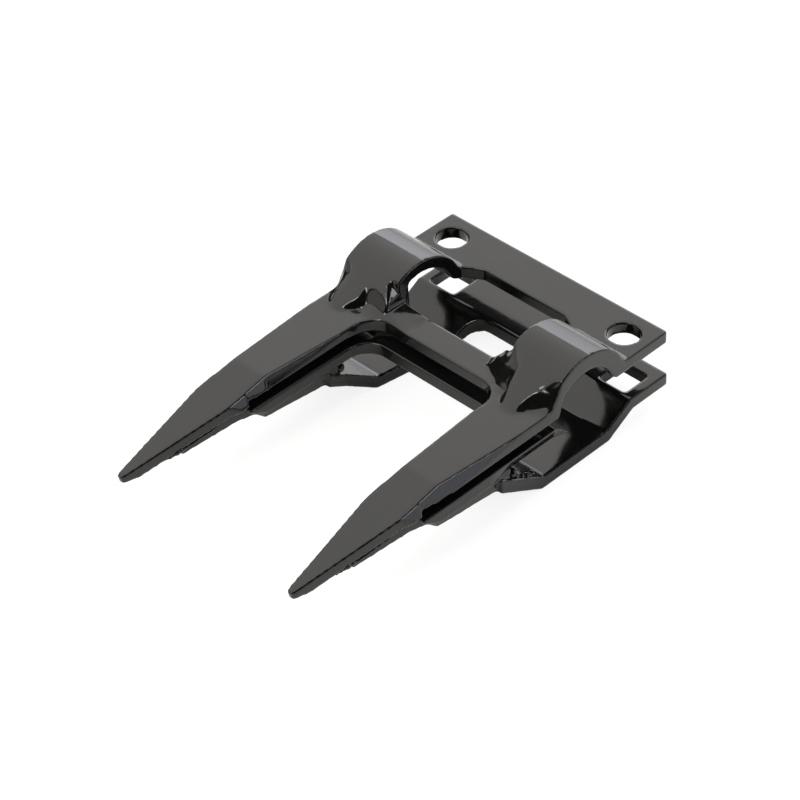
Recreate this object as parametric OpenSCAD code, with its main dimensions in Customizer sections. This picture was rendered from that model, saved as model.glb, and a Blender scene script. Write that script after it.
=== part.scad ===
// Double knife guard for a mower cutter bar: two pressed steel halves welded under the points.
// X runs across the fingers, the fingers point to -Y, Z is up.
// The bolt line lies on X, at the top of the upper plate.

/* [Overall] */
// distance between the finger centre lines, and between the bolts
pitch = 76.2; // [72:0.1:84]
// width of a finger at the knife slot
finger_w = 19; // [17:0.5:21]
// thickness of the pressed steel
sheet_t = 4.5; // [4:0.1:5]
// bolt line to the points of the fingers
reach = 148.2; // [142:0.2:155]
// height of the knife slot
slot_h = 3.5; // [3:0.1:4.5]
// bolt line to the front end of the knife slot
slot_end = 101.5; // [99:0.5:104]

/* [Upper plate] */
// bolt line to the rear edge of the upper plate
upper_rear = 10.3; // [8:0.1:13]
// diameter of the round bolt holes
bolt_d = 11; // [9:0.5:12.5]
// size of the cut rear corners
corner_cut = 0.6; // [0.4:0.1:3]
// bolt line to the rear edge of the window
window_rear = 5.7; // [5:0.1:7]
// length of the straight rear edge of the window
window_flat = 35.4; // [28:0.2:38]
// depth of the slanted window corners
window_slant = 4; // [3:0.1:5]

/* [Arches] */
// width of an arch
arch_w = 23.3; // [21:0.1:25]
// bolt line to the middle of an arch
arch_mid = 28.5; // [27.5:0.1:29.5]
// outside radius of an arch
arch_r = 19; // [18:0.1:20]
// height of an arch above the plate
arch_rise = 12.6; // [11:0.1:14]
// hollow radius at the rear foot of an arch
rear_foot_r = 3; // [2:0.1:4]
// hollow radius at the front foot of an arch
front_foot_r = 2.5; // [2:0.1:4]
// width of the deepened outer edge of an arch
lip_w = 3; // [2:0.1:4]
// how far the outer edge of an arch reaches down
lip_drop = 1.8; // [1:0.1:2.5]
// radius of the inner front corner of an arch
shoulder_r = 6.5; // [5.5:0.1:7]
// lean of that corner
shoulder_lean = 21; // [15:1:25]
// bolt line to the start of that corner
shoulder_at = 38.5; // [38:0.1:39.5]
// height of the step left in that corner
shoulder_step = 3.6; // [2:0.1:5]
// bolt line to the front end of the ramp on a finger
ramp_at = 53; // [51:0.1:55]
// width of the ramp where it meets the arch
ramp_w = 11.6; // [9:0.1:13]
// width of the ramp at its front end
ramp_tip_w = 4.4; // [3:0.1:6]
// offset of the ramps from the finger centre lines, towards -X
ramp_shift = 2.2; // [1:0.1:3]
// climb of the ramp
ramp_angle = 32; // [29:0.5:33]
// width of the web on the inner side of the right arch
web_w = 9.2; // [7:0.1:11]
// length of that web along the arch
web_len = 9; // [7:0.1:10]
// height of that web at the rear edge of the bridge
web_h = 8.6; // [6:0.1:9.5]

/* [Bridge and fingers] */
// bolt line to the rear edge of the bridge
bridge_at = 36.5; // [35.5:0.1:37.5]
// width of the bridge
bridge_w = 10.5; // [9:0.1:12]
// radius where the bridge meets the fingers
crotch_r = 8.5; // [6:0.1:10]
// bolt line to the start of the bevel on the edges of a finger
bevel_at = 56; // [55.5:0.5:64]
// narrowing of the flat top on each side at the slot end
finger_bevel = 3.2; // [1.5:0.1:3.4]
// slant of the edges of a finger over the thickness of the sheet
bevel_slant = 2.2; // [1:0.1:3]
// depth of the side pockets behind the nose
pocket_d = 1.2; // [0.6:0.1:2]
// radius of the side pockets
pocket_r = 3.2; // [2.4:0.1:4]

/* [Noses] */
// bolt line to the bend where a nose starts to fall
bend_at = 92.5; // [90:0.5:96]
// fall of a nose
nose_fall = 10; // [8:0.1:12]
// width of a nose at the slot end, at its underside
nose_w = 18.4; // [17:0.1:18.8]
// width of the flat top there
nose_top_w = 14.6; // [13.5:0.1:16]
// length of the shoulders of a nose
nose_shoulder = 3.5; // [2:0.1:5]
// width of a nose in front of its shoulders
nose_neck = 15.2; // [13:0.1:16]
// width of the blunt point
tip_w = 3; // [2:0.1:4]
// length of the upswept underside of the point
tip_sweep = 6; // [4:0.1:8]
// height taken off under the point
tip_lift = 1.6; // [1:0.1:2.2]

/* [Lower half] */
// bolt line to the rear edge of the lower plate
lower_rear = 11; // [9:0.5:13]
// clear height between the two plates
plate_gap = 13.2; // [12:0.1:14.5]
// size of the square bolt holes
square_w = 11; // [9:0.5:12.5]
// corner radius of the square holes
square_r = 1; // [0.5:0.1:2]
// bolt line to the bend behind the trough
trough_rear = 7; // [6:0.1:8]
// bolt line to the rear corner of the trough floor
floor_rear = 18.5; // [17:0.1:20]
// depth of the trough floor below the lower plate
floor_drop = 6.6; // [5:0.1:8]
// bolt line to the front corner of the trough floor
floor_front = 47.5; // [46:0.1:49]
// climb of the front wall
wall_angle = 28.5; // [26:0.5:31]
// half width of the lower window at its rear edge
low_window = 20.8; // [18:0.1:22]
// bolt line to the rear edge of the lower window
low_window_at = 8; // [7.8:0.1:9.5]
// corner radius of the lower window
low_window_r = 7; // [5:0.1:8]
// how far the inner edge of a lower arm has moved outwards at the front of the floor
arm_flare = 4.9; // [3:0.1:6]
// run of the front wall over which a lower arm narrows to a finger
arm_run = 12; // [10:0.5:15]
// bolt line to the rear edge of the ledger
ledger_at = 42.5; // [41.5:0.1:45]
// slant of the rear end of the ledger
ledger_slant = 6; // [4:0.1:6.5]
// width of the ledger between the fingers
ledger_w = 7; // [6:0.1:9]
// radius where the ledger meets the fingers
ledger_r = 8; // [6:0.1:10]
// bolt line to the bend under a finger
keel_at = 67.2; // [65:0.1:69]
// length from the front of the keel to the slot end
keel_back = 7.5; // [5.5:0.1:9]
// depth of the keel below the ledger at its front
keel_front_d = 2.8; // [1.6:0.1:3.4]
// narrowing of a lower finger on each side towards its keel
keel_in = 2; // [1:0.1:3]

/* [Tongues and welds] */
// half width of the front end of the tongue under a nose
tongue_hw = 4; // [3.2:0.1:4.2]
// flare of each side of a tongue towards the slot end
tongue_flare = 7.6; // [6:0.1:8]
// bolt line to the front end of a tongue
tongue_end = 127; // [124:0.5:130]
// thickness of a tongue at the slot end
tongue_t = 4.6; // [4:0.1:5.5]
// thickness of a tongue at its front end
tongue_tip_t = 2.4; // [1.6:0.1:3]
// radius of the weld beads
weld_r = 0.9; // [0.7:0.1:1.2]
// length of the weld along each side of a tongue
weld_len = 14; // [10:0.5:16]

/* [Hidden] */
$fn = 96;
half_w = pitch / 2 + finger_w / 2;
in_x = half_w - arch_w;
gap_x = pitch / 2 - finger_w / 2;
bridge_front = bridge_at + bridge_w;
window_mid = (in_x + window_flat / 2) / 2;
nose_at = (slot_end - bend_at) / cos(nose_fall);
arch_zc = arch_rise - arch_r;
slot_z = -sheet_t - slot_h;
ledger_z = slot_z - sheet_t;
plate_z = -sheet_t - plate_gap;
floor_z = plate_z - floor_drop;
rear_angle = atan2(floor_drop, floor_rear - trough_rear);
rear_shift = sheet_t * tan(rear_angle / 2);
wall_shift = sheet_t * tan(wall_angle / 2);
keel_z = floor_z - sheet_t + (keel_at - floor_front - wall_shift) * tan(wall_angle);
nose_len = (reach - bend_at) / cos(nose_fall);
nose_root = 3;
nose_lap = 0.6;
nose_proud = 0.03;
ramp_meet = arch_mid + arch_r * 0.8;
ramp_rear = arch_mid + arch_r * 0.66;
keel_front = slot_end - keel_back;
tongue_len = (tongue_end - bend_at) / cos(nose_fall);
far = 400;

function nose_top(y) = -max(0, y - bend_at) * tan(nose_fall);
function nose_under(y) = -(y - bend_at) * tan(nose_fall) - sheet_t / cos(nose_fall);

module both() {
  children();
  mirror([1, 0, 0]) children();
}

// side profile drawn in Y and Z, drawn out along X from x0 to x1
module along_x(x0, x1) {
  translate([x0, 0, 0]) rotate([90, 0, 90]) linear_extrude(height = x1 - x0) children();
}

// section drawn in X and Z, drawn out towards -Y from y0 to y1
module along_y(y0, y1) {
  translate([0, -y0, 0]) rotate([90, 0, 0]) linear_extrude(height = y1 - y0) children();
}

// plan drawn in X and Y, drawn out from z0 up to z1
module along_z(z0, z1) {
  translate([0, 0, z0]) linear_extrude(height = z1 - z0) children();
}

// frame of a nose: its top lies in the plane Z = 0 of this frame
module nose_frame() {
  translate([pitch / 2, -bend_at, 0]) rotate([nose_fall, 0, 0]) children();
}

// hollow foot between the arch and the flat sheet
module foot(side, inset, r) {
  reach_y = sqrt(pow(arch_r + r, 2) - pow(r - arch_zc, 2));
  fy = -arch_mid + side * reach_y;
  low = min(arch_zc, -inset) - 2;
  difference() {
    polygon([[-arch_mid, arch_zc], [fy, r], [fy, low], [-arch_mid, low]]);
    translate([fy, r]) circle(r = r + inset);
  }
}

// solid under the arch, drawn in by the inset
module arch_side(inset) {
  intersection() {
    union() {
      translate([-arch_mid, arch_zc]) circle(r = arch_r - inset);
      foot(1, inset, rear_foot_r);
      foot(-1, inset, front_foot_r);
    }
    translate([-far, -inset - 0.5]) square([2 * far, far]);
  }
}

// space to the inner front of an arch, up to its leaning rounded corner
module shoulder_space(inset, low) {
  cx = in_x + shoulder_r - 0.3;
  wall = inset / cos(shoulder_lean);
  top = arch_rise + 2;
  difference() {
    translate([in_x - 2, -arch_mid - 2 * arch_r, low])
      cube([cx - in_x + 2, 2 * arch_r + arch_mid - shoulder_at + wall, top - low]);
    translate([cx, -shoulder_at, low - 1])
      cylinder(
        h = top - low + 2,
        r1 = shoulder_r - wall - (low - 1) * tan(shoulder_lean),
        r2 = max(0.3, shoulder_r - wall - (top + 1) * tan(shoulder_lean))
      );
  }
}

// outside of an arch as a solid
module arch_outer() {
  difference() {
    along_x(in_x, half_w) arch_side(0);
    shoulder_space(0, shoulder_step);
  }
}

// hollow under an arch, lower at its outer edge
module arch_inner() {
  difference() {
    along_x(in_x - 1, half_w - lip_w) arch_side(sheet_t);
    shoulder_space(sheet_t, -sheet_t - 1);
  }
  along_x(half_w - lip_w - 0.5, half_w + 1) arch_side(sheet_t + lip_drop);
}

// tapered ramp from the finger up to the arch
module ramp() {
  run = ramp_at - ramp_rear;
  wide = ramp_tip_w / 2 + (ramp_w - ramp_tip_w) / 2 * run / (ramp_at - ramp_meet);
  intersection() {
    along_x(-ramp_w * 2, ramp_w * 2)
      polygon([[-ramp_at, 0], [-ramp_rear, run * tan(ramp_angle)], [-ramp_rear, -1], [-ramp_at, -1]]);
    along_z(-1, arch_rise) polygon([
      [-ramp_tip_w / 2, -ramp_at], [ramp_tip_w / 2, -ramp_at], [wide, -ramp_rear], [-wide, -ramp_rear]
    ]);
    difference() {
      translate([-far / 2, -far / 2, -1]) cube([far, far, far]);
      along_x(-far / 2, far / 2) translate([-arch_mid, arch_zc]) circle(r = arch_r - 1);
    }
  }
}

// slanted web between the bridge and the inner side of the right arch
module web() {
  turn = atan2(-1 / web_len, -1 / web_w);
  lean = atan2(sqrt(pow(web_w, -2) + pow(web_len, -2)), 1 / web_h);
  intersection() {
    along_x(in_x - web_w, in_x + shoulder_r) arch_side(0);
    translate([in_x - web_w, -bridge_at - far, -sheet_t / 2]) cube([web_w + shoulder_r, far, far]);
    translate([in_x - web_w, -bridge_at, 0]) rotate([0, 0, turn]) rotate([0, lean, 0])
      translate([-far / 2, -far / 2, -far]) cube([far, far, far]);
  }
}

// plan of the upper plate, bridge and fingers before the gap between the fingers is cut
module upper_plan() {
  difference() {
    polygon([
      [-half_w, upper_rear - corner_cut], [-half_w + corner_cut, upper_rear],
      [half_w - corner_cut, upper_rear], [half_w, upper_rear - corner_cut],
      [half_w, -slot_end], [-half_w, -slot_end]
    ]);
    polygon([
      [-in_x, -bridge_at], [in_x, -bridge_at],
      [in_x, -window_rear - window_slant], [window_mid, -window_rear - window_slant * 0.4],
      [window_flat / 2, -window_rear], [-window_flat / 2, -window_rear],
      [-window_mid, -window_rear - window_slant * 0.4], [-in_x, -window_rear - window_slant]
    ]);
    both() translate([pitch / 2, 0]) circle(d = bolt_d);
  }
}

// plan of the space between the fingers, with round inner corners
module gap_plan(front, r) {
  translate([-gap_x + r, -far]) square([2 * (gap_x - r), far - front]);
  translate([-gap_x, -far]) square([2 * gap_x, far - front - r]);
  both() translate([gap_x - r, -front - r]) circle(r = r);
}

// growing bevel along one edge of a finger
module edge_cut() {
  turn = atan2(finger_bevel, slot_end - bevel_at);
  past = bevel_slant + finger_w / 2;
  translate([finger_w / 2, -bevel_at, 0]) rotate([0, 0, -turn]) along_y(0, slot_end)
    polygon([[0, 0], [bevel_slant, -sheet_t], [past, -sheet_t], [past, sheet_t], [0, sheet_t]]);
}

// side view of a finger up to the slot end, flat below, falling on top past the bend
module finger_side() {
  polygon([
    [-bridge_at, -sheet_t], [-bridge_at, 0], [-bend_at, 0],
    [-slot_end, nose_top(slot_end) - nose_proud], [-slot_end, -sheet_t]
  ]);
}

// plan of a nose in its own frame: shoulders, long taper, blunt point
module nose_plan() {
  y0 = -nose_at + nose_root;
  y1 = -nose_at - nose_shoulder;
  y2 = y1 - nose_shoulder;
  y3 = -nose_len + tip_w * 0.35;
  polygon([
    [-nose_w / 2, y0], [-nose_w / 2, y1], [-nose_neck / 2, y2], [-tip_w / 2, y3], [-tip_w * 0.3, -nose_len],
    [tip_w * 0.3, -nose_len], [tip_w / 2, y3], [nose_neck / 2, y2], [nose_w / 2, y1], [nose_w / 2, y0]
  ]);
}

// section of a nose, wider at its underside
module nose_section() {
  low_w = nose_w + 0.8;
  polygon([[-nose_top_w / 2, 0], [nose_top_w / 2, 0], [low_w / 2, -sheet_t], [-low_w / 2, -sheet_t]]);
}

// side view of a nose in its own frame, with the upswept point
module nose_side() {
  sweep = -nose_len + tip_sweep;
  polygon([
    [-nose_at + nose_root, 1], [-nose_at + nose_root, -sheet_t - 1], [sweep, -sheet_t - 1], [sweep, -sheet_t],
    [-nose_len, -sheet_t + tip_lift], [-nose_len - 1, -sheet_t + tip_lift], [-nose_len - 1, 1]
  ]);
}

// falling nose with bevelled sides and an upswept point
module nose() {
  intersection() {
    nose_frame() along_z(-sheet_t, 0) nose_plan();
    nose_frame() along_y(nose_at - nose_root, nose_len + 1) nose_section();
    nose_frame() along_x(-finger_w, finger_w) nose_side();
    translate([0, -slot_end - far + nose_lap, -far / 2]) cube([far, far, far]);
  }
}

module upper_half() {
  color([0.08, 0.08, 0.085]) {
    both() nose();
    difference() {
      union() {
        intersection() {
          along_z(-sheet_t, 0) upper_plan();
          union() {
            along_x(-half_w, half_w) finger_side();
            translate([-half_w, -bridge_at - 0.01, -sheet_t]) cube([2 * half_w, far, sheet_t]);
          }
        }
        both() arch_outer();
        translate([pitch / 2 - ramp_shift, 0, 0]) ramp();
        translate([-pitch / 2 - ramp_shift, 0, 0]) ramp();
        web();
      }
      both() {
        arch_inner();
        translate([pitch / 2, 0, 0]) both() edge_cut();
        translate([pitch / 2 + finger_w / 2 - pocket_d + pocket_r, -slot_end + pocket_r * 0.6, -sheet_t - 1])
          cylinder(h = sheet_t + 2, r = pocket_r);
        translate([gap_x + pocket_d - pocket_r, -slot_end + pocket_r * 0.6, -sheet_t - 1])
          cylinder(h = sheet_t + 2, r = pocket_r);
      }
      along_z(-sheet_t - 1, 1) gap_plan(bridge_front, crotch_r);
    }
  }
}

// side view of the boat-shaped sheet
module boat_side() {
  polygon([
    [lower_rear, plate_z], [-trough_rear, plate_z], [-floor_rear, floor_z], [-floor_front, floor_z],
    [-keel_at, floor_z + (keel_at - floor_front) * tan(wall_angle)],
    [-keel_at, keel_z], [-floor_front - wall_shift, floor_z - sheet_t],
    [-floor_rear + rear_shift, floor_z - sheet_t], [-trough_rear + rear_shift, plate_z - sheet_t],
    [lower_rear, plate_z - sheet_t]
  ]);
}

// plan of the lower sheet: square bolt holes, and a window that opens to the front
module low_plan() {
  difference() {
    polygon([
      [-half_w, lower_rear - corner_cut], [-half_w + corner_cut, lower_rear],
      [half_w - corner_cut, lower_rear], [half_w, lower_rear - corner_cut],
      [half_w, -keel_at - 5], [-half_w, -keel_at - 5]
    ]);
    translate([-low_window + low_window_r, -low_window_at - low_window_r])
      square([2 * (low_window - low_window_r), low_window_r]);
    both() {
      translate([low_window - low_window_r, -low_window_at - low_window_r]) circle(r = low_window_r);
      polygon([[-1, -low_window_at - low_window_r], [low_window, -low_window_at - low_window_r],
        [low_window + arm_flare, -floor_front], [gap_x, -floor_front - arm_run], [gap_x, -far], [-1, -far]]);
      translate([pitch / 2, 0]) rounded_square();
    }
  }
}

// square bolt hole with round corners
module rounded_square() {
  s = square_w / 2;
  translate([-s, -s + square_r]) square([2 * s, 2 * (s - square_r)]);
  translate([-s + square_r, -s]) square([2 * (s - square_r), 2 * s]);
  for (x = [-1, 1]) {
    for (y = [-1, 1]) {
      translate([x * (s - square_r), y * (s - square_r)]) circle(r = square_r);
    }
  }
}

// plan of the ledger under the knife: two fingers and the strip between them
module ledger_plan() {
  difference() {
    translate([-half_w, -slot_end]) square([2 * half_w, slot_end - ledger_at + ledger_slant]);
    gap_plan(ledger_at + ledger_w, ledger_r);
  }
}

// lower finger: ledger on top, narrowing keel below
module low_finger() {
  root = 6;
  intersection() {
    translate([pitch / 2, 0, 0]) along_y(keel_at - root, slot_end)
      polygon([[-finger_w / 2, slot_z], [finger_w / 2, slot_z], [finger_w / 2 - keel_in, keel_z],
        [-finger_w / 2 + keel_in, keel_z]]);
    along_x(0, far) polygon([
      [-keel_at + root, ledger_z], [-keel_at + root, keel_z - root * tan(wall_angle)], [-keel_at, keel_z],
      [-keel_front, ledger_z - keel_front_d], [-slot_end + 1, slot_z - 1], [-slot_end + 1, slot_z],
      [-keel_at + root, slot_z]
    ]);
  }
}

// plan of a tongue in the frame of the nose, flaring towards the slot end
module tongue_plan() {
  wide = tongue_hw + tongue_len * tan(tongue_flare);
  polygon([[-tongue_hw, -tongue_len], [tongue_hw, -tongue_len], [wide, 0], [-wide, 0]]);
}

// tongue that reaches from the lower finger along the underside of the nose
module tongue() {
  past = tongue_end + sheet_t;
  side = nose_under(slot_end + 3) - tongue_t;
  intersection() {
    along_x(0, far) polygon([
      [-keel_front, slot_z], [-slot_end, slot_z], [-slot_end, nose_under(slot_end)],
      [-past, nose_under(past)], [-past, nose_under(past) - tongue_tip_t],
      [-slot_end - 3, side], [-keel_front, ledger_z]
    ]);
    nose_frame() along_z(-far / 2, far / 2) tongue_plan();
  }
}

module lower_half() {
  color([0.07, 0.07, 0.075]) {
    intersection() {
      along_x(-half_w, half_w) boat_side();
      along_z(-far / 2, far / 2) low_plan();
    }
    intersection() {
      along_z(ledger_z, slot_z) ledger_plan();
      along_x(-half_w, half_w) polygon([
        [-ledger_at, slot_z], [-ledger_at + ledger_slant, ledger_z], [-keel_front, ledger_z],
        [-slot_end + 1, slot_z - 1], [-slot_end + 1, slot_z]
      ]);
    }
    both() {
      low_finger();
      tongue();
    }
  }
}

// quarter round section of a weld bead in the corner at the origin
module weld_section() {
  intersection() {
    circle(r = weld_r);
    translate([0, -2 * weld_r]) square([2 * weld_r, 2 * weld_r]);
  }
}

// one bead along one side of the tongue
module side_weld() {
  translate([tongue_hw, -tongue_len, -sheet_t]) rotate([0, 0, -tongue_flare])
    along_y(-weld_len, weld_r * 0.7) weld_section();
}

// bead that runs along one side of the tongue, across its end and back along the other side
module nose_weld() {
  nose_frame() {
    both() side_weld();
    translate([0, -tongue_len, -sheet_t]) mirror([0, 1, 0])
      along_x(-tongue_hw - weld_r * 0.5, tongue_hw + weld_r * 0.5) weld_section();
  }
}

module left_nose_weld() {
  color([0.1, 0.1, 0.1]) mirror([1, 0, 0]) nose_weld();
}

module right_nose_weld() {
  color([0.1, 0.1, 0.1]) nose_weld();
}

upper_half();
lower_half();
left_nose_weld();
right_nose_weld();
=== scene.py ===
import math

import bmesh
import bpy
import numpy as np
from mathutils import Matrix, Vector, noise
from mathutils.bvhtree import BVHTree
from mathutils.kdtree import KDTree


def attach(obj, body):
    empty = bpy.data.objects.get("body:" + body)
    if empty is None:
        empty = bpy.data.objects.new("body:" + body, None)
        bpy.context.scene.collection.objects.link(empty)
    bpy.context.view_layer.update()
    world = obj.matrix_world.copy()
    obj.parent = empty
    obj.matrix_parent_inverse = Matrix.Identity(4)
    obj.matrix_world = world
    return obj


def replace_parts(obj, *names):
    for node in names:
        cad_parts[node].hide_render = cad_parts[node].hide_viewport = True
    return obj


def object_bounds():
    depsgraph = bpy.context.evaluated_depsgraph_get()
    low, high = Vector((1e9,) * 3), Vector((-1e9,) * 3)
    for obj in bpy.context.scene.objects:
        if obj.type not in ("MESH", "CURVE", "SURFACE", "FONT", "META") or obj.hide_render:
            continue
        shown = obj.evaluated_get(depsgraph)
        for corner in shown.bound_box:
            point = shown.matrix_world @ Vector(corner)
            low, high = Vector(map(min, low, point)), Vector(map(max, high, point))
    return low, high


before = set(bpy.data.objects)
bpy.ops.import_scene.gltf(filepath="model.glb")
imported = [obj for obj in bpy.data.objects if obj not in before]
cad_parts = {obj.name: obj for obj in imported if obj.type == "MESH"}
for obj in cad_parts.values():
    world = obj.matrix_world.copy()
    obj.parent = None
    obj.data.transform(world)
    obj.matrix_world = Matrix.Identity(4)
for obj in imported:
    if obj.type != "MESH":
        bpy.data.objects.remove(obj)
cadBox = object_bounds()
mm = 0.001
print("frame loaded:", sorted(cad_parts))


def hexToLinear(code):
    # sRGB hex to linear light
    channels = [int(code[i:i + 2], 16) / 255 for i in (1, 3, 5)]
    return [c / 12.92 if c <= 0.04045 else ((c + 0.055) / 1.055) ** 2.4 for c in channels] + [1.0]


def addNode(tree, kind, settings=None, links=None):
    # settings: property or input name to value; links: input name to an output socket
    node = tree.nodes.new(kind)
    for name, value in (settings or {}).items():
        if name in node.inputs:
            node.inputs[name].default_value = value
        else:
            setattr(node, name, value)
    for name, socket in (links or {}).items():
        tree.links.new(socket, node.inputs[name])
    return node


# camera at the photo's angle
photoView = {
    "azimuth": 46.781,   # degrees round from the front of the fingers
    "elevation": 39.763,
    "roll": -2.794,
    "distance": 0.918408,
    "target": (0.0, -0.070, -0.005),
    "lens": 131.575,
    "shift": (0.0191, -0.00267),
    "clip": (0.01, 50),
}


def makeCamera(view):
    a, e, r = (math.radians(view[k]) for k in ("azimuth", "elevation", "roll"))
    back = Vector((math.sin(a) * math.cos(e), -math.cos(a) * math.cos(e), math.sin(e)))
    right = Vector((math.cos(a), math.sin(a), 0))
    up = back.cross(right)
    rolledRight = right * math.cos(r) + up * math.sin(r)
    rolledUp = up * math.cos(r) - right * math.sin(r)
    data = bpy.data.cameras.new("photoCamera")
    data.lens = view["lens"]
    data.shift_x, data.shift_y = view["shift"]
    data.clip_start, data.clip_end = view["clip"]
    cam = bpy.data.objects.new("photoCamera", data)
    turn = Matrix((rolledRight, rolledUp, back)).transposed().to_4x4()
    cam.matrix_world = Matrix.Translation(Vector(view["target"]) + back * view["distance"]) @ turn
    bpy.context.scene.collection.objects.link(cam)
    bpy.context.scene.camera = cam


makeCamera(photoView)
print("camera placed")


# gloss black enamel, dipped over pressed steel: near-black body, sharp clear reflections,
# faint orange peel that makes long highlights waver a little
enamel = {
    "body": "#0b0b0c",
    "bodyThin": "#141413",      # where the coat is a little thinner and greyer
    "ior": 1.5,
    "roughness": (0.07, 0.13),
    "cloudMm": 18.0,            # patches of slightly different gloss
    "cloudNoise": (4.0, 0.55),  # detail and roughness of the noise
    "cloudSpread": (0.3, 0.7),  # share of the noise that the gloss runs over
    "peelMm": 2.2,              # orange peel cells
    "peelNoise": (1.5, 0.4),
    "peelHeight": 0.012 * mm,
}


def makeEnamel(name, spec):
    mat = bpy.data.materials.new(name)
    mat.use_nodes = True
    tree = mat.node_tree
    tree.nodes.clear()
    place = addNode(tree, "ShaderNodeTexCoord").outputs["Object"]
    pattern = {}
    for part in ("cloud", "peel"):
        detail, roughness = spec[part + "Noise"]
        cells = addNode(tree, "ShaderNodeTexNoise",
                        {"Scale": 1 / (spec[part + "Mm"] * mm), "Detail": detail, "Roughness": roughness},
                        {"Vector": place})
        pattern[part] = cells.outputs["Fac"]
    colour = addNode(tree, "ShaderNodeMix", {"data_type": "RGBA"}, {"Factor": pattern["cloud"]})
    colour.inputs[6].default_value = hexToLinear(spec["body"])  # its colour sockets A and B
    colour.inputs[7].default_value = hexToLinear(spec["bodyThin"])
    low, high = spec["cloudSpread"]
    smooth, dull = spec["roughness"]
    gloss = addNode(tree, "ShaderNodeMapRange",
                    {"From Min": low, "From Max": high, "To Min": smooth, "To Max": dull},
                    {"Value": pattern["cloud"]})
    bump = addNode(tree, "ShaderNodeBump", {"Distance": spec["peelHeight"], "Strength": 1.0},
                   {"Height": pattern["peel"]})
    shader = addNode(tree, "ShaderNodeBsdfPrincipled", {"IOR": spec["ior"]},
                     {"Base Color": colour.outputs[2], "Roughness": gloss.outputs["Result"],
                      "Normal": bump.outputs["Normal"]})
    addNode(tree, "ShaderNodeOutputMaterial", None, {"Surface": shader.outputs["BSDF"]})
    return mat


enamelBlack = makeEnamel("glossBlackEnamel", enamel)
# the same coat over weld beads, which shows their finer ripples as small broken glints
enamelWeld = makeEnamel("glossBlackEnamelOverWeld", {**enamel, "peelMm": 1.1, "peelHeight": 0.05 * mm})
print("materials made")


# pressed halves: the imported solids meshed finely, then relaxed where the press and the paint leave
# round edges, and kept on the solid where the sheet is flat
pressed = {
    "grain": 0.5 * mm,         # mesh size
    "seam": 0.002 * mm,        # corners of the solid closer than this are one
    "edgeAngle": 24.0,         # degrees, sharper folds of the solid count as edges
    "edgeReach": 1.5 * mm,     # how far from an edge the sheet is relaxed
    "edgeEase": 0.16,          # how strongly
    "curveEase": 0.5,          # on bent sheet, which also takes out the solid's facets
    "flatAngle": 0.3,          # degrees, faces that meet flatter than this are one flat
    "rounds": 14,
    "foot": (-57 * mm, -33 * mm),  # from the ramps to the crests, where the sheet is drawn soft
    "footLow": -0.9 * mm,
    "footFade": 3 * mm,
    "footEase": 0.5,
    "footRounds": 30,
    "downward": -0.3,          # a normal that points down more than this is on the underside
    "rimAngle": 75.0,          # degrees, folds this sharp are cut edges and stay crisp
    "rimKeep": 2.4 * mm,
}


# forms pressed into the feet of the arches beyond the solid's own: the flared right sides of both ramps,
# a mound in the inner corner of the left arch, a web beside the right one and the outer front corners
feet = {
    "arch": (-28.5 * mm, -6.4 * mm, 19.0 * mm),  # along, height and radius of the arches
    "inner": 24.3 * mm,                          # inner sides of the arches from the middle
    "rampFront": -53.0 * mm,
    "rampBlend": 2.0 * mm,
    # right sides of the ramps: middle of the ramp, its climb, and in mm (along, across) of crest and foot
    "rampWalls": [
        (-40.3 * mm, 0.625,
         ((-51.9, -47.1, -43.6), (-37.8, -32.6, -34.4)),
         ((-51.9, -47.1, -43.6), (-37.8, -32.6, -34.4))),
        (35.9 * mm, 0.62,
         ((-52.9, -51.7, -49.0, -45.8, -43.8), (38.4, 38.2, 38.6, 39.85, 41.0)),
         ((-52.9, -51.1, -48.2, -46.0, -44.7, -43.8), (38.4, 40.4, 42.05, 44.4, 46.3, 47.0))),
    ],
    "corner": 2.2 * mm,                          # outer front corners are pressed back by this much
    "cornerAcross": (42.0 * mm, 47.6 * mm),
    "cornerAlong": (-50.0 * mm, -46.0 * mm, -43.5 * mm, -39.5 * mm),
    "blend": (7.0 * mm, 2.5 * mm),               # hollow radius in front of the arch, beside it
    "blendAcross": (-28.0 * mm, -22.0 * mm),
    "moundAcross": (-32.0 * mm, -30.0 * mm, -27.5 * mm, -24.3 * mm, -23.9 * mm, -19.5 * mm, -14.0 * mm),
    "moundHeight": (0.0, 9.0 * mm, 8.5 * mm, 4.6 * mm, 2.0 * mm, 1.0 * mm, 0.0),
    "moundTilt": (-41.0 * mm, 0.2),              # its corner facet climbs a little towards the rear
    "moundRear": (-41.5 * mm, -36.5 * mm),       # it falls off again behind, to this share
    "moundFall": (1.0, 0.4),
    "webTip": (16.6 * mm, -41.2 * mm),           # front foot of the web on the bridge
    "webSlopes": (0.475, 0.831, 1.33),           # climb across, climb along, climb of its inner side
    "webEnd": (28.0 * mm, 30.0 * mm),            # it runs out into the arch here
    "webRear": -36.4 * mm,
    "webCorner": -41.0 * mm,                     # in front of this the corner is pressed in to the web
    "ease": 0.4,
    "rounds": 8,
    "calm": ((19.0 * mm, 31.0 * mm), (-48.0 * mm, -36.6 * mm), 0.4 * mm),  # across, along, above this
    "calmEase": 0.5,                             # the web there is smoothed more
    "calmRounds": 70,
}


def archHeight(y, blend, spec):
    middle, low, radius = spec["arch"]
    start = middle - math.sqrt((radius + blend) ** 2 - (blend - low) ** 2)
    if y < start:
        return 0.0
    if y < middle + (start - middle) * radius / (radius + blend):
        return blend - math.sqrt(blend ** 2 - (y - start) ** 2)
    return low + math.sqrt(max(0.0, radius ** 2 - (y - middle) ** 2))


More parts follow.
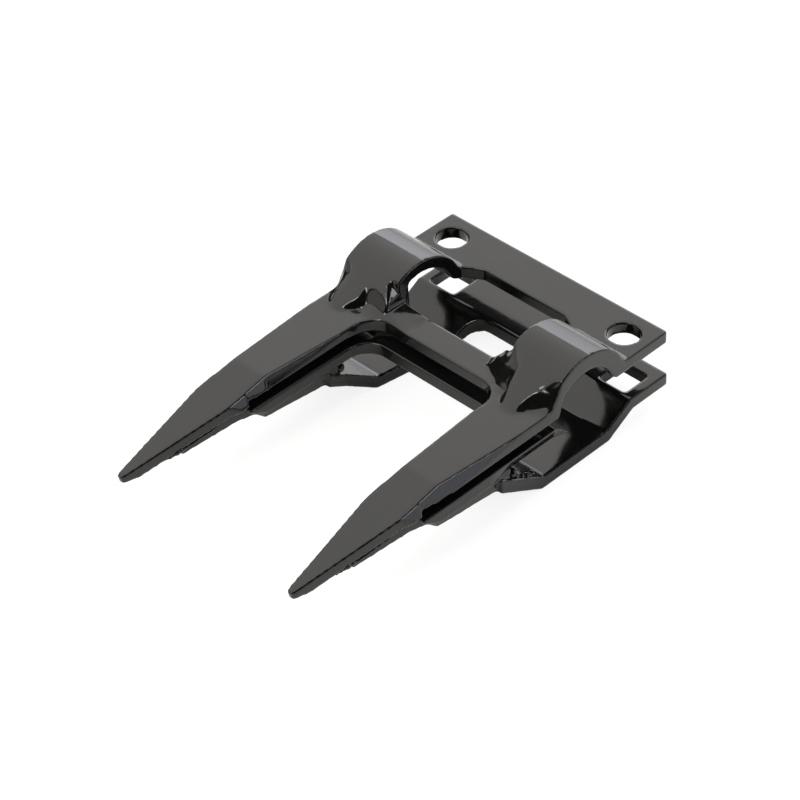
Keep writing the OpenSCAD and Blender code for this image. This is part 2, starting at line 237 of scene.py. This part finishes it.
def rampHeight(x, y, z, spec):
    for middle, climb, crest, foot in spec["rampWalls"]:
        if crest[0][0] * mm < y < crest[0][-1] * mm and x > middle:
            edge, toe = (np.interp(y / mm, *line) * mm for line in (crest, foot))
            top = (y - spec["rampFront"]) * climb
            if x < edge:
                z = max(z, z + (top - z) * min(1.0, (x - middle) / spec["rampBlend"]))
            elif x < toe:
                z = max(z, top + (z - top) * (x - edge) / (toe - edge))
    return z


def moundHeight(x, y, z, spec):
    across = spec["moundAcross"]
    if not across[0] < x < across[-1]:
        return z
    rise = archHeight(y, np.interp(x, spec["blendAcross"], spec["blend"]), spec)
    start, climb = spec["moundTilt"]
    height = min(rise, np.interp(x, across, spec["moundHeight"]) + max(0.0, (y - start) * climb))
    if x > -spec["inner"]:
        height *= np.interp(y, spec["moundRear"], spec["moundFall"])
    return max(z, height)


def webHeight(x, y, z, spec):
    tipX, tipY = spec["webTip"]
    if not tipX < x < spec["webEnd"][1] or y >= spec["webRear"]:
        return z
    across, along, inner = spec["webSlopes"]
    height = max(0.0, min(across * (x - tipX) + along * (y - tipY), inner * (x - tipX)))
    if y < spec["webCorner"]:
        return z + (height - z) * np.interp(x, spec["webEnd"], (1.0, 0.0))
    if x >= spec["inner"]:
        height = min(height, archHeight(y, spec["blend"][1], spec))
    return max(z, height)


def cornerShift(x, y, spec):
    return (spec["corner"] * np.interp(abs(x), spec["cornerAcross"], (0.0, 1.0))
            * np.interp(y, spec["cornerAlong"], (0.0, 1.0, 1.0, 0.0)))


# the bevels on the inner sides of the fingers stand a little steeper than the outer ones
innerSides = {
    "middle": 38.1 * mm,              # of a finger
    "steeper": 0.13,
    "across": (2.0 * mm, 4.0 * mm),   # grows over this from the middle of a finger
    "along": (-93.5 * mm, -91.5 * mm, -58.0 * mm, -55.0 * mm),
    "sheet": 4.5 * mm,
}


def innerShift(x, y, z, spec):
    depth = min(max(-z, 0.0), spec["sheet"])
    share = np.interp(spec["middle"] - abs(x), spec["across"], (0.0, 1.0))
    share *= np.interp(y, spec["along"], (0.0, 1.0, 1.0, 0.0))
    return math.copysign(spec["steeper"] * depth * share, x)


# the ledger's outer sides lean in under its top edge
ledger = {
    "top": -8.0 * mm,
    "bottom": -12.5 * mm,
    "lean": 0.36,
    "across": (43.0 * mm, 47.6 * mm),  # the lean grows from here to the side
    "along": (-72.0 * mm, -62.0 * mm, -42.0 * mm, -38.0 * mm),
    "lip": 1.5 * mm,                   # it runs out below the ledger over this
}


def ledgerShift(x, y, z, spec):
    depth = min(spec["top"] - z, spec["top"] - spec["bottom"])
    if depth < 0 or z < spec["bottom"] - spec["lip"]:
        return 0.0
    share = np.interp(abs(x), spec["across"], (0.0, 1.0))
    share *= np.interp(y, spec["along"], (0.0, 1.0, 1.0, 0.0))
    share *= min(1.0, 1 - (spec["bottom"] - z) / spec["lip"])
    return -math.copysign(spec["lean"] * depth * share, x)


def fineMesh(source, name, grain):
    piece = bpy.data.objects.new(name, source)
    bpy.context.scene.collection.objects.link(piece)
    remesh = piece.modifiers.new("fineMesh", "REMESH")
    remesh.mode = "VOXEL"
    remesh.voxel_size = grain
    graph = bpy.context.evaluated_depsgraph_get()
    fine = bpy.data.meshes.new_from_object(piece.evaluated_get(graph))
    piece.modifiers.clear()
    piece.data = fine
    fine.name = name
    return piece


def pointTree(points):
    tree = KDTree(len(points))
    for i, point in enumerate(points):
        tree.insert(point, i)
    tree.balance()
    return tree


def solidFacts(cad, spec):
    # faces of the solid, which of them are bent, points along its edges and along its cut rims
    bm = bmesh.new()
    bm.from_mesh(cad.data)
    bmesh.ops.remove_doubles(bm, verts=bm.verts, dist=spec["seam"])
    bmesh.ops.triangulate(bm, faces=bm.faces)
    bm.faces.ensure_lookup_table()
    edges, rims, bent = [], [], set()
    for e in bm.edges:
        if len(e.link_faces) != 2:
            continue
        angle = math.degrees(e.calc_face_angle(0.0))
        if angle > spec["edgeAngle"]:
            steps = max(1, int(e.calc_length() / spec["grain"]))
            line = [e.verts[0].co.lerp(e.verts[1].co, i / steps) for i in range(steps + 1)]
            edges += line
            if angle > spec["rimAngle"] and e.is_convex:
                rims += line
        elif angle > spec["flatAngle"]:
            bent.update(f.index for f in e.link_faces)
    tree = BVHTree.FromBMesh(bm)
    bm.free()
    return tree, bent, pointTree(edges), pointTree(rims)


def meshPairs(mesh):
    return np.array([e.vertices[:] for e in mesh.edges])


def relax(points, pairs, ease, rounds):
    # each point moves towards the middle of its neighbours, by its own ease
    count = np.bincount(pairs.ravel(), minlength=len(points))[:, None]
    for _ in range(rounds):
        total = np.zeros_like(points)
        np.add.at(total, pairs[:, 0], points[pairs[:, 1]])
        np.add.at(total, pairs[:, 1], points[pairs[:, 0]])
        points = points + ease[:, None] * (total / count - points)
    return points


def dress(piece, material):
    piece.data.shade_smooth()
    piece.data.materials.clear()
    piece.data.materials.append(material)
    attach(piece, "root")
    print(piece.name, "triangles", sum(len(f.vertices) - 2 for f in piece.data.polygons))


def snapToSolid(mesh, cad, spec):
    # points on the solid, how far each may relax, and which lie on the upper side of the feet
    tree, bent, edges, rims = solidFacts(cad, spec)
    points = np.empty((len(mesh.vertices), 3))
    ease = np.zeros(len(points))
    footEase = np.zeros(len(points))
    upperSide = []
    front, rear = spec["foot"]
    for i, v in enumerate(mesh.vertices):
        spot, normal, face, _ = tree.find_nearest(v.co)
        near = edges.find(v.co)[2] / spec["edgeReach"]
        points[i] = spot
        byEdge = spec["edgeEase"] * max(0.0, 1 - near)
        ease[i] = max(byEdge, spec["curveEase"] * min(1.0, near) if face in bent else 0.0)
        if front < spot.y < rear and spot.z > spec["footLow"]:
            fade = min(1.0, (spot.y - front) / spec["footFade"], (rear - spot.y) / spec["footFade"])
            footEase[i] = spec["footEase"] * fade * min(1.0, rims.find(v.co)[2] / spec["rimKeep"])
            if normal.z > spec["downward"]:
                upperSide.append(i)
    return points, ease, footEase, upperSide


def pressFeet(points, pairs, upperSide, spec):
    shapeEase = np.zeros(len(points))
    calmEase = np.zeros(len(points))
    calmAcross, calmAlong, calmLow = spec["calm"]
    for i in upperSide:
        x, y, z = points[i]
        height = z
        for form in (rampHeight, moundHeight, webHeight):
            height = form(x, y, height, spec)
        if height != z:
            points[i][2] = height
            shapeEase[i] = spec["ease"]
        if calmAcross[0] < x < calmAcross[1] and calmAlong[0] < y < calmAlong[1] and height > calmLow:
            calmEase[i] = spec["calmEase"]
    points = relax(points, pairs, shapeEase, spec["rounds"])
    points = relax(points, pairs, calmEase, spec["calmRounds"])
    points[:, 1] += [cornerShift(x, y, spec) for x, y, z in points]
    return points


def pressedCopy(node, name, spec):
    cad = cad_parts[node]
    piece = fineMesh(cad.data.copy(), name, spec["grain"])
    mesh = piece.data
    pairs = meshPairs(mesh)
    points, ease, footEase, upperSide = snapToSolid(mesh, cad, spec)
    points = relax(points, pairs, footEase, spec["footRounds"])
    if node == "upper_half":
        points = pressFeet(points, pairs, upperSide, feet)
        points[:, 0] += [innerShift(*point, innerSides) for point in points]
    else:
        points[:, 0] += [ledgerShift(*point, ledger) for point in points]
    points = relax(points, pairs, ease, spec["rounds"])
    mesh.vertices.foreach_set("co", points.ravel())
    mesh.update()
    dress(piece, enamelBlack)
    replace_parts(piece, node)


pressedCopy("upper_half", "upperPress", pressed)
pressedCopy("lower_half", "lowerPress", pressed)
print("halves pressed")


# welds: uneven beads under the points and in the throat between ledger and front wall
welds = {
    "grain": 0.25 * mm,
    "lump": 0.28 * mm,        # height of the ripples
    "lumpMm": 1.7,            # length of a ripple
    "lumpEase": 0.4,          # how strongly they are smoothed again, and how often
    "lumpRounds": 4,
    "pitch": 38.1 * mm,       # middle of a finger
    "bend": -92.5 * mm,       # where a nose starts to fall
    "fall": math.radians(10),
    "sheet": 4.5 * mm,
    "runSink": 0.1 * mm,      # the beads sit this far below the sheet
    "runs": [                 # along each nose edge in front of the tongue: across, along, radius in mm
        (3.9, -126.2, 1.2), (3.7, -127.6, 1.25), (3.3, -129.0, 1.0), (3.1, -130.2, 1.1), (2.8, -131.6, 0.8),
        (-3.9, -126.4, 1.1), (-3.6, -128.0, 1.2), (-3.3, -129.4, 0.9),
    ],
    "throat": (-60.4 * mm, -15.4 * mm, 7.4 * mm, 1.7 * mm),  # along, height, half length, radius
    "throatBeads": 9,
    "sway": (0.5 * mm, 5.1),  # how far they stray, with the step of its wave
    "swayFall": 0.6,          # a bead that strays to the rear lies this much lower
    "swell": (0.12, 3.7),     # how much their thickness varies, with the step of its wave
    "spill": [                # runs on from the throat down the front wall: across, along, radius in mm
        (4.0, -61.6, 1.3), (5.6, -60.2, 1.2), (7.2, -58.6, 1.35), (7.7, -56.6, 1.1), (7.8, -54.6, 1.25),
        (7.4, -52.6, 1.0), (6.6, -50.8, 1.2), (5.2, -49.4, 0.9),
    ],
    "frontWall": (-47.5 * mm, -24.3 * mm, math.tan(math.radians(28.5))),  # foot along, height, climb
}


def addBall(bm, centre, radius):
    made = bmesh.ops.create_icosphere(bm, subdivisions=2, radius=radius)
    bmesh.ops.translate(bm, verts=made["verts"], vec=Vector(centre))


def lumpy(mesh, spec):
    points = np.empty((len(mesh.vertices), 3))
    for i, v in enumerate(mesh.vertices):
        ripple = noise.noise(v.co / (spec["lumpMm"] * mm))
        points[i] = np.array(v.co) + np.array(v.normal) * ripple * spec["lump"]
    ease = np.full(len(points), spec["lumpEase"])
    points = relax(points, meshPairs(mesh), ease, spec["lumpRounds"])
    mesh.vertices.foreach_set("co", points.ravel())
    mesh.update()


def weldBead(bm, name, spec):
    mesh = bpy.data.meshes.new(name)
    bm.to_mesh(mesh)
    bm.free()
    piece = fineMesh(mesh, name, spec["grain"])
    lumpy(piece.data, spec)
    dress(piece, enamelWeld)
    return piece


def noseWeld(node, name, side, spec):
    bm = bmesh.new()
    bm.from_mesh(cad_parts[node].data)
    thick = spec["sheet"] / math.cos(spec["fall"])
    for across, along, radius in spec["runs"]:
        height = (along * mm - spec["bend"]) * math.tan(spec["fall"]) - thick - spec["runSink"]
        addBall(bm, (side * spec["pitch"] + across * mm, along * mm, height), radius * mm)
    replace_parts(weldBead(bm, name, spec), node)


def throatWeld(name, side, spec):
    bm = bmesh.new()
    along, height, half, radius = spec["throat"]
    beads = spec["throatBeads"]
    stray, strayStep = spec["sway"]
    swell, swellStep = spec["swell"]
    for i in range(beads):
        t = 2 * i / (beads - 1) - 1
        sway = stray * math.sin(strayStep * i)
        thick = radius * (1 + swell * math.cos(swellStep * i))
        centre = (side * spec["pitch"] + t * half, along + sway, height - spec["swayFall"] * sway)
        addBall(bm, centre, thick)
    foot, low, climb = spec["frontWall"]
    for across, y, r in spec["spill"]:
        addBall(bm, (side * (spec["pitch"] + across * mm), y * mm, low + (foot - y * mm) * climb), r * mm)
    weldBead(bm, name, spec)


noseWeld("left_nose_weld", "leftNoseBead", -1, welds)
noseWeld("right_nose_weld", "rightNoseBead", 1, welds)
throatWeld("leftThroatBead", -1, welds)
throatWeld("rightThroatBead", 1, welds)
print("welds laid")


# studio: pale floor and soft panels all round, in metres
studio = {
    "floorSize": 12.0,
    "floorRoughness": 0.9,
    "floorSpecular": 0.1,
    "floors": {
        # name: material, colour, glow, depth below the object, seen by the camera
        # backlit opal acrylic gives the eye an even white with only a hint of shadow
        "whiteFloor": ("backlitOpalAcrylic", "#7d7d7c", 0.86, 0.02 * mm, True),
        # matt paper under it, hidden from the camera, gives the lower reflections its soft shadows
        "paperFloor": ("mattPalePaper", "#ebebe9", 0.0, 0.04 * mm, False),
    },
    "world": "#16171a",
    "rearWall": {             # in rows that fade towards the floor
        "across": -1.35,
        "along": 1.80,
        "width": 3.3,
        "height": 1.48,
        "rows": 8,
        "radiance": (1.6, 4.6),
        "colour": "#fbf9ff",
    },
    "panels": {
        # name: centre, size, direction it looks at, radiance, colour, shows in reflections
        "ceiling": ((-1.35, -0.27, 1.5), (3.3, 4.0), (-1.35, -0.27, 0.0), 1.8, "#fffdf8", True),
        "rightWall": ((1.6, 1.05, 0.32), (1.8, 1.0), (0.0, 0.0, 0.0), 1.4, "#f2f6ff", True),
        "frontWall": ((-1.3, -1.5, 0.40), (2.6, 1.0), (0.0, 0.0, 0.0), 1.0, "#fffaf4", True),
        "floorWash": ((0.55, 0.35, 0.45), (0.5, 0.5), (0.45, 0.28, 0.0), 3.0, "#ffffff", False),
        "frontLamp": ((0.0, -1.2, 1.34), (0.45, 0.45), (0.0, 0.0, 0.0), 8.0, "#ffffff", True),
        "rightLamp": ((1.465, 0.533, 0.9), (0.45, 0.45), (0.0, 0.0, 0.0), 6.0, "#ffffff", True),
    },
}


def makePanel(name, centre, size, look, radiance, colour, inReflections):
    data = bpy.data.lights.new(name, "AREA")
    data.shape = "RECTANGLE"
    data.size, data.size_y = size
    data.energy = radiance * math.pi * size[0] * size[1]
    data.color = hexToLinear(colour)[:3]
    panel = bpy.data.objects.new(name, data)
    panel.location = centre
    panel.rotation_mode = "QUATERNION"
    panel.rotation_quaternion = (Vector(look) - Vector(centre)).to_track_quat("-Z", "Y")
    panel.visible_camera = False
    panel.visible_glossy = inReflections
    bpy.context.scene.collection.objects.link(panel)


def makeRearWall(spec):
    across, along, rows = spec["across"], spec["along"], spec["rows"]
    low, high = spec["radiance"]
    rowHeight = spec["height"] / rows
    for i in range(rows):
        middle = (i + 0.5) * rowHeight
        radiance = low + (high - low) * i / (rows - 1)
        makePanel(f"rearWall{i}", (across, along, middle), (spec["width"], rowHeight),
                  (across, 0.0, middle), radiance, spec["colour"], True)


def makeFloor(name, material, colour, glow, depth, forCamera, spec):
    mat = bpy.data.materials.new(material)
    mat.use_nodes = True
    shader = mat.node_tree.nodes["Principled BSDF"]
    shader.inputs["Base Color"].default_value = hexToLinear(colour)
    shader.inputs["Roughness"].default_value = spec["floorRoughness"]
    shader.inputs["Specular IOR Level"].default_value = spec["floorSpecular"]
    shader.inputs["Emission Color"].default_value = hexToLinear("#ffffff")
    shader.inputs["Emission Strength"].default_value = glow
    h = spec["floorSize"] / 2
    z = cadBox[0].z - depth
    mesh = bpy.data.meshes.new(name)
    mesh.from_pydata([(-h, -h, z), (h, -h, z), (h, h, z), (-h, h, z)], [], [(0, 1, 2, 3)])
    mesh.materials.append(mat)
    floor = bpy.data.objects.new(name, mesh)
    floor.visible_camera = forCamera
    floor.visible_glossy = not forCamera
    floor.visible_diffuse = not forCamera
    floor.visible_shadow = not forCamera
    bpy.context.scene.collection.objects.link(floor)


for name, facts in studio["floors"].items():
    makeFloor(name, *facts, studio)
for name, facts in studio["panels"].items():
    makePanel(name, *facts)
makeRearWall(studio["rearWall"])
world = bpy.data.worlds.new("studioDark")
world.use_nodes = True
world.node_tree.nodes["Background"].inputs["Color"].default_value = hexToLinear(studio["world"])
bpy.context.scene.world = world
bpy.context.scene.view_settings.view_transform = "Standard"
print("studio set")
